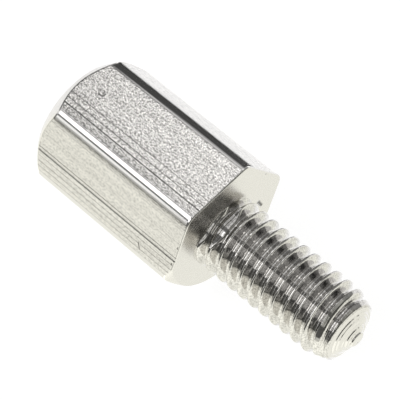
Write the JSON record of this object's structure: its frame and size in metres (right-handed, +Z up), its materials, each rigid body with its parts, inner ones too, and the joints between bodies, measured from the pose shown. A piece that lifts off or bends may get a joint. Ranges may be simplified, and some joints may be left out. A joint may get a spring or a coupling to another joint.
{
  "type": "hex standoff",
  "caption": "Short male-female hex standoff: a hexagonal metal spacer with a threaded stud on one end and a tapped hole in the other.",
  "frame": {"origin": "centre of the shoulder, on the axis of the stud", "axes": "+X along the stud, away from the hexagonal body; +Z up, square to the two flats that lie level; +Y across the body"},
  "size_m": [0.0189, 0.0078, 0.007],
  "materials": {
    "nickel_plate": "polished"
  },
  "bodies": {
    "root": {"hex_standoff": "nickel_plate"}
  },
  "joints": []
}
